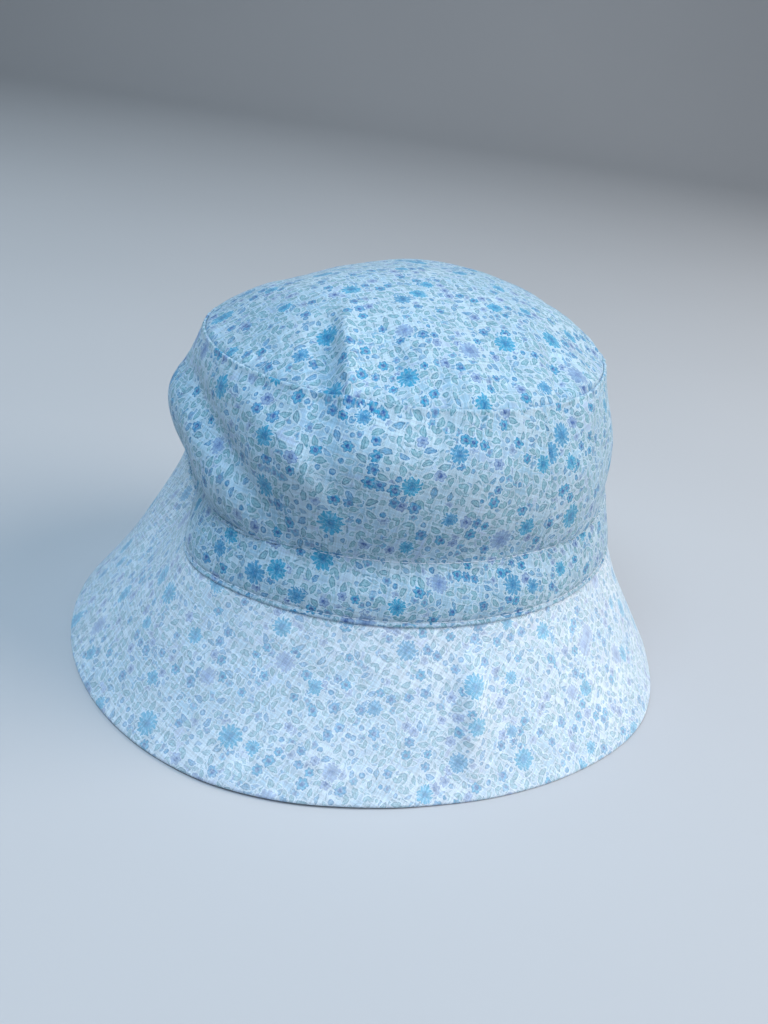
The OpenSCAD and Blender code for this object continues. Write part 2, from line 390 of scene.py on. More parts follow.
def crumpled(target):
    """Lets the crown's cloth, cut a little too large, buckle and slump in a cloth simulation
    that is drawn towards the target. Returns where it comes to rest, as moves on a grid."""
    rows, columns = 61, 216
    level, angle = grid(0, 2, rows, columns)
    plain = crown(angle, level)
    start = plain + target.at(level[:, 0], angle[0])
    points = np.concatenate([start[:-1].reshape(-1, 3), start[-1:, 0]])
    body = grid_faces(rows - 1, columns, True)
    last = (rows - 2) * columns
    cap = [(last + j, last + (j + 1) % columns, len(points) - 1) for j in range(columns)]
    piece = add_mesh("crown_simulation", points * SIMULATED_SIZE, body.tolist() + cap)

    random = waves(plain, 45, 51)
    hold = 0.22 + 0.10 * random + 0.4 * bell(2 - level, 0.3)
    hold = np.maximum(hold, 0.6 * ramp(level, BAND_LEVEL + 0.1, BAND_LEVEL))
    hold = np.maximum(hold, 0.5 * bell(level - 1, 0.02))
    hold[level < 0.02] = 1
    for name, amounts in (("held", hold), ("loose", ramp(2 - level, 0.15, 0.6))):
        group = piece.vertex_groups.new(name=name)
        weights = np.append(amounts[:-1].ravel(), amounts[-1, 0])
        for index, weight in enumerate(np.clip(weights, 0, 1)):
            group.add([index], float(weight), "REPLACE")

    cloth = piece.modifiers.new("cloth", "CLOTH")
    for key, value in CLOTH_SETTINGS.items():
        setattr(cloth.settings, key, value)
    cloth.settings.effector_weights.gravity = 0.5
    cloth.collision_settings.use_collision = False
    scene = bpy.context.scene
    for frame_number in range(1, SIMULATED_FRAMES + 1):
        scene.frame_set(frame_number)
    settled = piece.evaluated_get(bpy.context.evaluated_depsgraph_get()).data
    moved = np.empty(len(settled.vertices) * 3)
    settled.vertices.foreach_get("co", moved)
    moved = moved.reshape(-1, 3) / SIMULATED_SIZE / MM
    scene.frame_set(1)
    bpy.data.objects.remove(piece)
    rest = np.concatenate([moved[:-1], np.repeat(moved[-1:], columns, 0)])
    return Slack(0, 2, rest.reshape(rows, columns, 3) - plain)


def creased(slack):
    """The crown's slack with its creases pressed in."""
    level, angle = grid(0, 2, 161, 540)
    plain = crown(angle, level)
    out = np.zeros(level.shape)
    for amount, width, path in CREASES:
        distance, along = near_path(plain, path)
        out += amount * bell(distance, width) * np.sin(np.clip(along, 0.03, 0.97) * math.pi) ** 0.6
    out *= ramp(level, 0, 0.12) * (1 - 0.6 * bell(level - BAND_LEVEL, 0.04))
    out *= 1 - 0.35 * bell(level - 1, 0.03)
    moves = slack.at(level[:, 0], angle[0])
    return Slack(0, 2, moves + out[..., None] * crown_outward(level, angle))


def brim_slack():
    level, angle = grid(-1, 0, 41, 360)
    plain = brim(angle, level)
    loose = ramp(-level, 0, 0.35)
    out = 0.6 * waves(plain, 110, 11) + 0.3 * waves(plain, 42, 12)
    amount, degrees, width = BRIM_CREASE
    out += amount * beside(angle, degrees + 2 * level, width) * bell(level + 0.45, 0.33)
    out = out * loose * ramp(level, -1.0, -0.8) - round_the_hat(angle, EDGE_OUT) * level
    moves = out[..., None] * outwards(angle) + (1 + level)[..., None] * seam_shift(angle)
    lift = np.clip(0.5 + 0.5 * waves(plain * (1, 1, 0), 90, 13), 0, 1)
    moves[..., 2] += lift * 0.6 * ramp(-level, 0.6, 1)
    return Slack(-1, 0, moves)


def softened(slack, reach):
    """The slack of a layer further in. It is sewn in along the brim seam, spans small creases
    and stays clear of them."""
    rows, columns = slack.moves.shape[:2]
    levels = np.linspace(0, 2, rows)
    sewn = slack.moves[:1] * ramp(levels, 0.62, 0)[:, None, None]
    moves = slack.moves - sewn
    around = outwards(round_angles(columns))[:, :2]
    out = (moves[..., :2] * around).sum(-1) * ramp(levels, 2, 0.8)[:, None]
    out = out + moves[..., 2] * ramp(levels, 1, 1.6)[:, None]
    lowest = out.copy()
    for shift in range(-reach, reach + 1):
        lowest = np.minimum(lowest, np.roll(out, shift, 1))
    extended = lowest.copy()
    for shift in range(1, reach + 1):
        lowest[shift:] = np.minimum(lowest[shift:], extended[:-shift])
        lowest[:-shift] = np.minimum(lowest[:-shift], extended[shift:])
    for _ in range(3 * reach):
        lowest = evened(lowest)
        padded = np.vstack([lowest[:1], lowest, lowest[-1:]])
        lowest = (padded[:-2] + 2 * lowest + padded[2:]) / 4
    lowest *= ramp(levels, 0, 0.15)[:, None]
    flat = ramp(levels, 0.9, 1.6)[:, None]
    soft = np.zeros(moves.shape)
    soft[..., :2] = (lowest * (1 - flat))[..., None] * around
    soft[..., 2] = lowest * flat
    return Slack(slack.low, slack.high, soft + sewn)


CROWN_SLACK = creased(crumpled(crown_target()))
BRIM_SLACK = brim_slack()
LINING_SLACK = softened(CROWN_SLACK, 15)
FORMS = {"side": (side, CROWN_SLACK), "tip": (tip, CROWN_SLACK), "brim": (brim, BRIM_SLACK),
         "side lining": (side, LINING_SLACK), "tip lining": (tip, LINING_SLACK)}


def outside(form, levels, angles):
    """Points and outward normals of a form, on a grid of levels by angles."""
    plain, slack = FORMS[form]

    def points(levels, angles):
        return plain(angles[None, :] + 0 * levels[:, None],
                     levels[:, None] + 0 * angles[None, :]) + slack.at(levels, angles)

    step = 0.006
    inner = np.minimum(levels, 1.96)
    if plain is side:
        inner = np.clip(inner, step, 1.2)
    around = points(inner, angles + step) - points(inner, angles - step)
    up = points(inner + step, angles) - points(inner - step, angles)
    return points(levels, angles), unit(np.cross(around, up))


# ------------------------------------------------------------------ relief of seams and stitches
def ripple(angles, seed):
    """Small puckers round the hat, as stitches make them."""
    random = np.random.default_rng(seed)
    counts = np.arange(46, 120)
    sizes = random.normal(size=len(counts)) / math.sqrt(len(counts))
    phases = random.uniform(0, TURN, len(counts))
    return (sizes * np.cos(angles[:, None] * counts + phases)).sum(1) * 1.6


def from_side_seams(angles):
    """Millimetres from the nearer side seam."""
    return np.minimum(np.abs(np.sin(angles / 2)), np.abs(np.cos(angles / 2))) * 2 * HALF_X


def side_relief(levels, angles):
    """How far the side's outside is pressed in, by its stitches, seams and puckers."""
    height = (levels * SIDE_RISE)[:, None]
    seam, band, top = ripple(angles, 21), ripple(angles, 22), ripple(angles, 23)
    pressed = 0.34 * bell(height - 1.6, 0.5) - 0.32 * bell(height - 0.5, 0.6)
    pressed = pressed - 0.10 * bell(height - 4.5, 3) * (seam + 0.4)
    above = height - BAND_LINE
    pressed = pressed + 0.30 * bell(above, 0.6) - 0.10 * bell(np.abs(above) - 2.6, 2.2) * band
    pressed = pressed - 0.14 * bell(height - SIDE_RISE + 2.5, 2.6) * top
    pressed = pressed - 0.28 * bell(height - SIDE_RISE + 0.5, 0.55)
    from_seam = from_side_seams(angles)
    return pressed + 0.22 * bell(from_seam, 0.30) - 0.05 * bell(from_seam - 1.6, 1.0)


def tip_relief(levels, angles):
    inwards = ((levels - 1) * TIP_REACH)[:, None]
    return 0.60 * bell(inwards, 0.9) - 0.14 * bell(inwards - 3, 2.6) * ripple(angles, 23)


def brim_relief(levels, angles):
    down = (-levels * BRIM_WIDTH)[:, None]
    pressed = 0.25 * bell(down, 0.8) - 0.08 * bell(down - 3, 2.5) * ripple(angles, 21)
    return pressed + 0.25 * bell(from_side_seams(angles), 0.35)


def no_relief(levels, angles):
    return np.zeros((len(levels), len(angles)))


RELIEFS = {"side": side_relief, "tip": tip_relief, "brim": brim_relief}


def sheet_mesh(name, outer, inner, uv, wraps=False, pole=False):
    """A closed sheet between two grids. With a pole, the last row is one point."""
    rows, columns = outer.shape[:2]
    if pole:
        rows -= 1
    count = rows * columns
    points = [outer[:rows].reshape(-1, 3), inner[:rows].reshape(-1, 3)]
    spots = [uv[:rows].reshape(-1, 2)] * 2
    faces = grid_faces(rows, columns, wraps)
    quads = [faces, faces[:, ::-1] + count]
    j = np.arange(columns if wraps else columns - 1)
    k = (j + 1) % columns
    quads.append(np.stack([k, j, j + count, k + count], -1))
    last = (rows - 1) * columns
    triangles = []
    if pole:
        points += [outer[-1, :1], inner[-1, :1]]
        spots += [uv[-1, :1], uv[-1, :1]]
        triangles = np.concatenate([
            np.stack([last + j, last + k, 0 * j + 2 * count], -1),
            np.stack([last + k + count, last + j + count, 0 * j + 2 * count + 1], -1)]).tolist()
    else:
        quads.append(np.stack([last + j, last + k, last + k + count, last + j + count], -1))
    if not wraps:
        r = np.arange(rows - 1) * columns
        quads.append(np.stack([r, r + columns, r + columns + count, r + count], -1))
        e = r + columns - 1
        quads.append(np.stack([e + columns, e, e + count, e + columns + count], -1))
    return add_mesh(name, np.concatenate(points), np.concatenate(quads).tolist() + triangles,
                    np.concatenate(spots))


# ------------------------------------------------------------------ flat cuts
def arc(angles):
    """How far round the hat an angle lies, as an angle that runs at an even pace."""
    fine = np.linspace(-TURN, 2 * TURN, 2161)
    speed = np.hypot(HALF_X * np.sin(fine), HALF_Y * np.cos(fine))
    length = np.r_[0, np.cumsum((speed[1:] + speed[:-1]) / 2)]
    length *= 3 * TURN / length[-1]
    return np.interp(angles, fine, length - TURN)


def cone_uv(levels, angles, start, wide, narrow, slant):
    """Where cloth lies in its flat cut, a piece of a ring. start is the panel's middle angle,
    wide and narrow are half lengths round the hat at level 0 and at the far edge."""
    reach = wide * slant / (wide - narrow)
    spread = 2 * wide / reach / math.pi
    turn = (arc(angles) - start)[None, :] * spread
    radius = reach - slant * levels[:, None]
    return np.stack([radius * np.sin(turn), -radius * np.cos(turn) + reach], -1)


def half_round(out):
    """Half the length round the hat, at so far out from the brim seam."""
    a, b = HALF_X + out, HALF_Y + out
    return math.pi * (3 * (a + b) - math.sqrt((3 * a + b) * (a + 3 * b))) / 2


def side_uv(levels, angles, half):
    """Where a side panel lies in its flat cut."""
    return cone_uv(levels, angles, sum(half) / 2, half_round(0) / 2, half_round(-SIDE_LEAN) / 2,
                   SIDE_SLANT)


def tip_uv(levels, angles):
    """Where a tip lies in its flat cut, which is a little wider than the tip seam's oval."""
    reach = (2 - levels) * half_round(-SIDE_LEAN) / math.pi * TIP_EASE
    return reach[:, None, None] * outwards(angles)[:, :2]


# ------------------------------------------------------------------ pieces of cloth
class Cut:
    """A flat cut: its width and length, its area, and where it lies on the printed cloth."""

    def __init__(self, width, length, area, offset=(0, 0), turned=0.0):
        self.flat = (width, length)
        self.area = area
        self.offset = np.array(offset, float)
        self.turned = math.radians(turned)

    def place(self, uv):
        c, s = math.cos(self.turned), math.sin(self.turned)
        return uv @ np.array([[c, s], [-s, c]]) + self.offset


def even(start, end, pitch):
    """Values from start to end, about a pitch apart."""
    return np.linspace(start, end, max(2, round(abs(end - start) / pitch) + 1))


def gather(*runs):
    """Joins runs of values and drops a value that repeats the one before."""
    values = np.concatenate(runs)
    return values[np.concatenate([[True], np.abs(np.diff(values)) > 1e-9])]


FRONT = (math.pi, TURN)
BACK = (0.0, math.pi)
# How many columns of points: across half a printed piece or lining, and round a tip
HALF_COLUMNS = 361
LINING_COLUMNS = 181
TIP_COLUMNS = 540
LINING_TIP_COLUMNS = 240
# The level where the brim's edge starts to turn in
HEM_LEVEL = -0.972


def panel_angles(half):
    """Angles across a half panel, closer together beside its seams."""
    t = np.linspace(0, 1, HALF_COLUMNS)
    t = t - 0.012 * np.sin(TURN * t)
    return half[0] + (half[1] - half[0]) * t


def layer(form, levels, depths, angles, relief=None):
    """Rows of points at levels and depths. Each row has its own depth, or all share one."""
    points, normals = outside(form, levels, angles)
    relief = relief or RELIEFS.get(form, no_relief)
    depth = np.reshape(depths, (-1, 1)) + relief(levels, angles)
    return points - normals * depth[..., None]


def outer_side(name, half, cut):
    """The printed side. Its top edge is folded in and hangs down inside."""
    angles = panel_angles(half)
    fold = np.linspace(0, math.pi, 7)[1:-1]
    middle = FLAP_DEPTH / 2 + COTTON / 2
    thin = middle - COTTON
    top = 1 - 0.4 / SIDE_RISE
    # Rows lie close together beside the seams and the sweatband's stitches.
    stops = (0, 3 / SIDE_RISE, BAND_LEVEL - 0.03, BAND_LEVEL + 0.03, 1 - 3 / SIDE_RISE, top)
    pitches = (0.4, 0.85, 0.45, 0.85, 0.4)
    rise = gather(*(even(start, end, pitch / SIDE_RISE)
                    for start, end, pitch in zip(stops, stops[1:], pitches)))
    flap = even(top, 1 - ALLOWANCE / SIDE_RISE, 1.5 / SIDE_RISE)
    levels = np.r_[rise, top + np.sin(fold) * middle / SIDE_RISE, flap]
    outer = np.r_[0 * rise, middle * (1 - np.cos(fold)), 0 * flap + 2 * middle]
    inner_levels = np.r_[rise, top + np.sin(fold) * thin / SIDE_RISE, flap]
    inner = np.r_[0 * rise + COTTON, middle - thin * np.cos(fold), 0 * flap + middle + thin]
    run = np.r_[rise, top + middle * fold / SIDE_RISE,
                2 * top + middle * math.pi / SIDE_RISE - flap]
    return sheet_mesh(name, layer("side", levels, outer, angles),
                      layer("side", inner_levels, inner, angles),
                      cut.place(side_uv(run, angles, half)))


def tip_sheet(name, cut, columns, parts, thickness, run):
    """A tip made of its turned-down rim and its dome, each with a form, levels and a depth."""
    angles = round_angles(columns)

    def face(below):
        return np.concatenate([layer(form, levels, depth + below, angles)
                               for form, levels, depth in parts])

    return sheet_mesh(name, face(0), face(thickness), cut.place(tip_uv(run, angles)),
                      wraps=True, pole=True)


def outer_tip(name, cut):
    """The printed tip. Its rim turns down inside the folded edge of the side."""
    rim = even(1 - ALLOWANCE / SIDE_RISE, 1 - 0.9 / SIDE_RISE, 1.6 / SIDE_RISE)
    dome = gather(even(1.006, 1.06, 0.008), even(1.06, 2, 0.0135))
    run = np.r_[1 - (1 - rim) * SIDE_RISE / TIP_SLANT, dome]
    parts = (("side", rim, TIP_DEPTH), ("tip", dome, 0))
    return tip_sheet(name, cut, TIP_COLUMNS, parts, COTTON, run)


def brim_sheet(name, half, cut, depths, pitch, hem):
    """One layer of the brim. hem is +1 or -1 where its edge turns in, upper or under, else 0."""
    angles = panel_angles(half)
    body = gather(even(HEM_LEVEL, -0.05, pitch), even(-0.05, -0.002, pitch / 2))
    levels, outer, inner = [body], [0 * body + depths[0]], [0 * body + depths[1]]
    inner_levels = [body]
    if hem:
        radius = BRIM_DEPTH / 2 - 0.05
        fold = np.linspace(math.pi / 2, 0, 7)[:-1]
        for faces, heights, thin in ((outer, levels, 0), (inner, inner_levels, COTTON)):
            r = radius - (thin if hem > 0 else COTTON - thin)
            middle = BRIM_DEPTH / 2 - 0.05 * hem
            faces.insert(0, middle - hem * r * np.cos(fold))
            heights.insert(0, HEM_LEVEL - r * np.sin(fold) / BRIM_WIDTH)
    uv_levels = np.concatenate(levels)
    top = layer("brim", uv_levels, np.concatenate(outer), angles)
    below = layer("brim", np.concatenate(inner_levels), np.concatenate(inner), angles)
    if hem < 0:
        # The under layer's seam allowance turns up inside the crown.
        rise = np.linspace(0.7, ALLOWANCE, 6) / SIDE_RISE
        top = np.concatenate([top, layer("side", rise, TURNED_UP_DEPTH, angles, no_relief)])
        below = np.concatenate([below, layer("side", rise, TURNED_UP_DEPTH + COTTON, angles,
                                             no_relief)])
        uv_levels = np.r_[uv_levels, rise * SIDE_RISE / BRIM_WIDTH]
    seam = half_round(0) / 2
    uv = cone_uv(uv_levels, angles, sum(half) / 2, seam,
                 seam - (half_round(BRIM_REACH) - half_round(0)) / 2, BRIM_WIDTH)
    return sheet_mesh(name, top, below, cut.place(uv))


def lining_side(name, half, cut):
    angles = half[0] + (half[1] - half[0]) * np.linspace(0, 1, LINING_COLUMNS)
    levels = even(0.004, 0.975, 0.022)
    return sheet_mesh(name, layer("side lining", levels, LINING_DEPTH, angles),
                      layer("side lining", levels, LINING_DEPTH + LINING, angles),
                      cut.place(side_uv(levels, angles, half)))


def lining_tip(name, cut):
    rim = even(1 - ALLOWANCE / SIDE_RISE, 0.965, 0.02)
    dome = even(1.025, 2, 0.022)
    parts = (("side lining", rim, LINING_DEPTH - 0.5), ("tip lining", dome, LINING_DEPTH))
    return tip_sheet(name, cut, LINING_TIP_COLUMNS, parts, LINING, np.r_[rim, dome])


def sweatband(name, cut):
    """One strip all the way round, which meets itself at the back."""
    angles = even(math.pi / 2 + 0.002, math.pi / 2 + TURN - 0.002, TURN / 480)
    levels = even(0.004, BAND_LEVEL + BAND_MARGIN / SIDE_RISE, 0.012)
    edge = 0.25 * bell(levels - levels[-1], 0.012) + 0.25 * bell(levels - levels[0], 0.012)
    uv = np.stack(np.broadcast_arrays(arc(angles)[None, :] * half_round(0) / math.pi,
                                      levels[:, None] * SIDE_SLANT), -1)
    return sheet_mesh(name, layer("side lining", levels, edge + BAND_DEPTH, angles),
                      layer("side lining", levels, BAND_DEPTH + SWEATBAND - edge, angles),
                      cut.place(uv))


# ------------------------------------------------------------------ thread
def thread_mesh(name, centres, normals):
    """Stitches, each a round thread along its own centre line, an array of stitches by points."""
    count, points = centres.shape[:2]
    sides = 8
    along = unit(np.gradient(centres, axis=1))
    across = unit(np.cross(along, normals))
    out = np.cross(across, along)
    taper = np.sin(np.linspace(0.12, 0.88, points) * math.pi) ** 0.35
    radius = (THREAD / 2 * taper)[None, :, None, None]
    turn = round_angles(sides)
    ring = (np.cos(turn)[:, None] * across[:, :, None] + np.sin(turn)[:, None] * out[:, :, None])
    skin = (centres[:, :, None] + radius * ring).reshape(count, -1, 3)
    quads = grid_faces(points, sides, True)[:, ::-1]
    ends = np.array([list(range(sides)),
                     [(points - 1) * sides + i for i in reversed(range(sides))]])
    starts = np.arange(count)[:, None, None] * points * sides
    faces = (starts + quads).reshape(-1, 4).tolist() + (starts + ends).reshape(-1, sides).tolist()
    return add_mesh(name, skin.reshape(-1, 3), faces)


def sew(name, form, levels, angles, steps, depth, sink):
    """Stitches along a form, each with a point for each of the steps. Their ends sink in."""
    points, normals = outside(form, levels, angles)
    relief = RELIEFS.get(form, no_relief)(levels, angles).T.reshape(-1, len(steps))
    points, normals = (rows.transpose(1, 0, 2).reshape(-1, len(steps), 3)
                       for rows in (points, normals))
    lower = depth + relief + sink * (2 * steps - 1) ** 4
    return thread_mesh(name, points - normals * lower[..., None], normals)


def stitch_ring(name, form, level, depth, sink=0.16):
    """Stitches all the way round."""
    count = round(2 * half_round(0) / STITCH_PITCH)
    steps = np.linspace(0, 1, 9)
    random = np.random.default_rng(len(name))
    starts = np.arange(count) + random.uniform(-0.04, 0.04, count)
    angles = (starts[:, None] + STITCH_LENGTH / STITCH_PITCH * steps) * TURN / count
    return sew(name, form, np.array([level]), angles.ravel(), steps, depth, sink)


def stitch_seams(name, form, low, high, depth, height):
    """Stitches up both side seams, between two levels."""
    count = int((high - low) * height / STITCH_PITCH)
    steps = np.linspace(0, 1, 7)
    levels = low + (np.arange(count)[:, None] * STITCH_PITCH + STITCH_LENGTH * steps) / height
    return sew(name, form, levels.ravel(), np.array([0.0, math.pi]), steps, depth, 0.1)


def join(name, pieces):
    """One object from several."""
    with bpy.context.temp_override(active_object=pieces[0], selected_editable_objects=pieces):
        bpy.ops.object.join()
    pieces[0].name = name
    pieces[0].data.name = name
    return pieces[0]


# ------------------------------------------------------------------ care label
def label_frame():
    """A point behind the label's lower edge on the lining, with the ways across, up and in."""
    low = BAND_LEVEL + (BAND_MARGIN + 3) / SIDE_RISE
    high = low + LABEL_SIZE[1] / SIDE_SLANT
    points, normals = outside("side lining", np.array([low, high]), np.array([math.pi / 2]))
    normal = -normals.mean((0, 1))
    foot, head = points[:, 0] + normal * (LINING_DEPTH + LINING + 0.45)
    return foot, np.array([1.0, 0, 0]), unit(head - foot), normal


def care_label(name, cut):
    """A blank folded ribbon that curls a little away from the lining at its foot."""
    foot, across, up, inwards = label_frame()
    width, length = LABEL_SIZE
    x = np.linspace(-width / 2, width / 2, 29)
    y = np.linspace(0, length, 41)
    curl = 1.3 * (1 - y / length) ** 2
    bow = 0.25 * (2 * x / width) ** 2
    lift = curl[:, None] * (1 + 0.25 * x[None, :] / width) + bow[None, :]
    rise = y[:, None] * np.ones(len(x))
    spot = foot + x[None, :, None] * across + rise[..., None] * up
    back = spot + lift[..., None] * inwards
    front = back + 0.55 * inwards
    uv = np.stack(np.broadcast_arrays(x[None, :], y[:, None]), -1)
    return sheet_mesh(name, back[:, ::-1], front[:, ::-1], cut.place(uv[:, ::-1]))


def label_stitches(name):
    foot, across, up, inwards = label_frame()
    steps = np.linspace(-0.5, 0.5, 9)
    centres = []
    for end in (-1, 1):
        for row in (-0.35, 0.35):
            middle = foot + end * (LABEL_SIZE[0] / 2 - 3.2) * across
            middle = middle + (LABEL_SIZE[1] - 2 + row) * up
            lift = 0.72 - 0.9 * (2 * steps) ** 4
            centres.append(middle + steps[:, None] * 4.4 * across + lift[:, None] * inwards)
    centres = np.array(centres)
    return thread_mesh(name, centres, np.broadcast_to(inwards, centres.shape))


# ------------------------------------------------------------------ materials
def arithmetic(operation, turned=False):
    """A Python operator that adds a Math node."""
    def result(field, other):
        values = (other, field) if turned else (field, other)
        return field.nodes.math(operation, *values)
    return result


class Field:
    """A value that varies over the cloth. Arithmetic on it adds Math nodes."""

    def __init__(self, nodes, socket):
        self.nodes = nodes
        self.socket = socket

    __add__ = __radd__ = arithmetic("ADD")
    __mul__ = __rmul__ = arithmetic("MULTIPLY")
    __sub__ = arithmetic("SUBTRACT")
    __rsub__ = arithmetic("SUBTRACT", turned=True)
    __truediv__ = arithmetic("DIVIDE")
    __gt__ = arithmetic("GREATER_THAN")
    __lt__ = arithmetic("LESS_THAN")

    def __abs__(self):
        return self.nodes.math("ABSOLUTE", self)


class Nodes:
    """A new material and short calls that add nodes to it."""

    def __init__(self, name):
        self.material = bpy.data.materials.new(name)
        self.material.use_nodes = True
        self.tree = self.material.node_tree
        self.shader = self.tree.nodes["Principled BSDF"]

    def add(self, kind, inputs=None, **settings):
        """A node with its settings and inputs. An input is a value, a socket or a Field."""
        node = self.tree.nodes.new(kind)
        for key, value in settings.items():
            setattr(node, key, value)
        for key, value in (inputs or {}).items():
            self.feed(node.inputs[key], value)
        return node

    def feed(self, target, value):
        if isinstance(value, Field):
            value = value.socket
        if isinstance(value, bpy.types.NodeSocket):
            self.tree.links.new(value, target)
        elif hasattr(value, "__len__") and len(value) == 3 and target.type == "RGBA":
            target.default_value = (*value, 1)
        else:
            target.default_value = value

    def field(self, kind, inputs, output=0, **settings):
        """A new node's output as a Field."""
        return Field(self, self.add(kind, inputs, **settings).outputs[output])

    def math(self, operation, *values):
        return self.field("ShaderNodeMath", dict(enumerate(values)), operation=operation)

    def smooth(self, value, start, end, low=0.0, high=1.0):
        """low where value is start, high where it is end and a smooth step between."""
        return self.field("ShaderNodeMapRange", {0: value, 1: start, 2: end, 3: low, 4: high},
                          interpolation_type="SMOOTHSTEP")

    def pick(self, share, first, second):
        """A number that goes from first to second as share goes from 0 to 1."""
        return self.field("ShaderNodeMix", {0: share, 2: first, 3: second}, data_type="FLOAT")

    def blend(self, share, first, second, blend_type="MIX"):
        """A colour that goes from first to second as share goes from 0 to 1."""
        return self.add("ShaderNodeMix", {0: share, 6: first, 7: second}, data_type="RGBA",
                        blend_type=blend_type).outputs[2]

    def vector(self, operation, *values):
        return self.add("ShaderNodeVectorMath", dict(enumerate(values)),
                        operation=operation).outputs[0]

    def split(self, vector):
        node = self.add("ShaderNodeSeparateXYZ", {0: vector})
        return [Field(self, node.outputs[i]) for i in range(3)]

    def noise(self, vector, scale, detail=2.0, roughness=0.5, shift=0.0):
        """Noise from 0 to 1."""
        if shift:
            vector = self.vector("ADD", vector, (shift, 2 * shift, 0))
        return self.field("ShaderNodeTexNoise", {"Vector": vector, "Scale": scale,
                                                 "Detail": detail, "Roughness": roughness},
                          output="Fac", noise_dimensions="2D")

    def steps(self, value, stops, smooth=False):
        """A colour ramp over stops, each a place and a colour."""
        node = self.add("ShaderNodeValToRGB", {0: value})
        shades = node.color_ramp
        shades.interpolation = "LINEAR" if smooth else "CONSTANT"
        while len(shades.elements) < len(stops):
            shades.elements.new(1.0)
        for element, (place, colour) in zip(shades.elements, stops):
            element.position = place
            element.color = (*colour, 1)
        return node.outputs[0]

    def cloth_place(self):
        """The place on the flat cloth, in millimetres."""
        return self.in_millimetres(self.add("ShaderNodeUVMap", uv_map="Cloth").outputs[0])

    def in_millimetres(self, vector):
        return self.add("ShaderNodeVectorMath", {0: vector, "Scale": 1 / MM},
                        operation="SCALE").outputs[0]

    def shaded(self, colour, weave_shade_and_tone):
        """A colour made darker or lighter by a field."""
        grey = self.add("ShaderNodeCombineColor", {0: weave_shade_and_tone, 1: weave_shade_and_tone, 2: weave_shade_and_tone})
        return self.blend(1.0, colour, grey.outputs[0], "MULTIPLY")

    def cells(self, vector, size, randomness, feature):
        """Irregular cells that are about so many millimetres wide."""
        return self.add("ShaderNodeTexVoronoi", {"Vector": vector, "Scale": 1 / size,
                                                 "Randomness": randomness},
                        voronoi_dimensions="2D", feature=feature)

    def finish(self, colour, roughness, height=None, depth=0.05, strength=0.6, sheen=0.25):
        self.feed(self.shader.inputs["Base Color"], colour)
        self.feed(self.shader.inputs["Roughness"], roughness)
        self.feed(self.shader.inputs["Specular IOR Level"], 0.25)
        self.feed(self.shader.inputs["Sheen Weight"], sheen)
        self.feed(self.shader.inputs["Sheen Roughness"], 0.5)
        self.feed(self.shader.inputs["Sheen Tint"], (0.9, 0.95, 1))
        if height is not None:
            bump = self.add("ShaderNodeBump", {"Height": height, "Strength": strength,
                                               "Distance": depth * MM})
            self.feed(self.shader.inputs["Normal"], bump.outputs[0])
        return self.material


def srgb(red, green, blue):
    """A colour given from 0 to 255, as linear light."""
    return tuple(((c / 255 + 0.055) / 1.055) ** 2.4 if c > 10 else c / 3294.6
                 for c in (red, green, blue))


def weave(nodes, place, pitch, twill=False):
    """The height of a plain weave or a twill, from 0 to 1, with uneven threads."""
    slub = nodes.noise(place, 0.45, 2.0, shift=7)
    x, y, _ = nodes.split(place)
    x, y = ((value + (slub - 0.5) * 0.5) * (math.pi / pitch) for value in (x, y))
    if twill:
        return nodes.math("SINE", x + y) * 0.5 + 0.5 + (slub - 0.5) * 0.6
    over = nodes.math("SINE", x) * nodes.math("SINE", y)
    return over * 0.5 + 0.5 + (slub - 0.5) * 0.8


GROUND = srgb(221, 234, 249)
GROUND_COOL = srgb(184, 214, 238)
GROUND_LILAC = srgb(200, 211, 241)
TEAL = srgb(78, 146, 172)
TEAL_DARK = srgb(62, 122, 158)
LEAF = srgb(160, 201, 216)
LEAF_BLUE = srgb(132, 184, 222)
BLUE = srgb(84, 166, 212)
BLUE_DARK = srgb(44, 126, 184)
CERULEAN = srgb(62, 174, 216)
LILAC = srgb(158, 182, 222)
LILAC_DARK = srgb(108, 138, 196)
NAVY = srgb(54, 98, 168)


def scatter(nodes, place, cell, randomness, shift):
    """One motif's place in each cell: x and y from its middle, turned at random, how far from
    its middle, the angle round it, and three random numbers."""
    moved = nodes.vector("ADD", place, (shift, 3 * shift, 0))
    spots = nodes.cells(moved, cell, randomness, "F1")
    local = nodes.vector("SUBTRACT", moved, spots.outputs["Position"])
    chance = nodes.split(spots.outputs["Color"])
    x, y, _ = nodes.split(local)
    turn = chance[0] * TURN
    c, s = nodes.math("COSINE", turn), nodes.math("SINE", turn)
    across, up = x * c + y * s, y * c - x * s
    far = nodes.math("SQRT", x * x + y * y)
    bearing = nodes.math("ARCTAN2", up, across)
    return across, up, far, bearing, chance


def leaf_edge(x, y, length, width):
    """How far outside a pointed leaf a place lies. Inside it is negative."""
    t = x / length
    return abs(y) - (1 - t * t) * width


def petals(nodes, bearing, count, depth):
    """From 1 - depth between petals to 1 at their tips."""
    return abs(nodes.math("COSINE", bearing * (count / 2))) * depth + (1 - depth)


# A motif's random number says which kind it is: a leaf, or from each of these on another kind.
PAIRS = 0.48
BERRIES = 0.68
FLOWERS = 0.80


